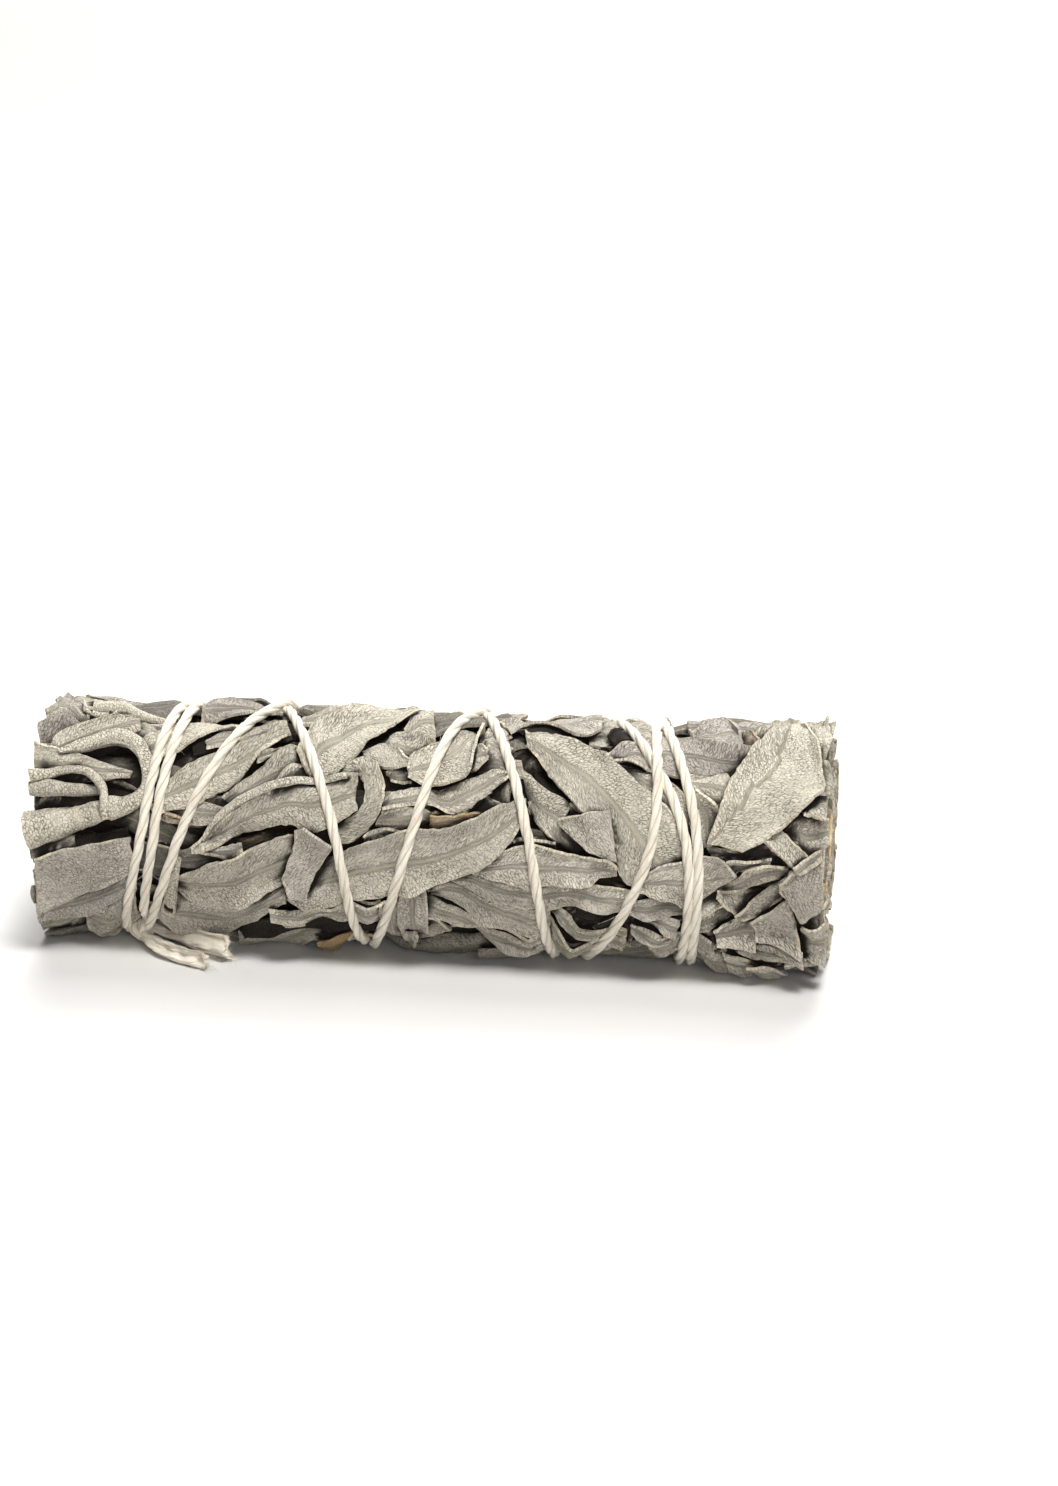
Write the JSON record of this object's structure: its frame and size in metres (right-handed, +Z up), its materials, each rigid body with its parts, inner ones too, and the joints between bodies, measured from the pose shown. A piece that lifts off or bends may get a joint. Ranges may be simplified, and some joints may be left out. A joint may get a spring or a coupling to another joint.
{
  "type": "sage smudge stick",
  "caption": "Dried white sage bundle: grey-green leaves pressed into a trimmed roll, woody stalk ends at one side, bound criss-cross with cream cotton twine and a frayed knot.",
  "frame": {"origin": "on the surface it lies on, under the middle of the bundle's bounding box", "axes": "+X along the roll towards the cut stalk ends, +Z up, and the face seen in the picture looks towards -Y"},
  "size_m": [0.102, 0.033, 0.03],
  "materials": {
    "sage_leaf": "matt, felted",
    "woody_stalk": "matt bark with a sawn end",
    "cotton_twine": "matt, fuzzy"
  },
  "bodies": {
    "root": {"sprig_1_leaves": "sage_leaf", "sprig_2_leaves": "sage_leaf", "sprig_3_leaves": "sage_leaf", "sprig_4_leaves": "sage_leaf", "sprig_5_leaves": "sage_leaf", "sprig_1_stalk": "woody_stalk", "sprig_2_stalk": "woody_stalk", "sprig_3_stalk": "woody_stalk", "sprig_4_stalk": "woody_stalk", "sprig_5_stalk": "woody_stalk", "twine": "cotton_twine"}
  },
  "joints": []
}
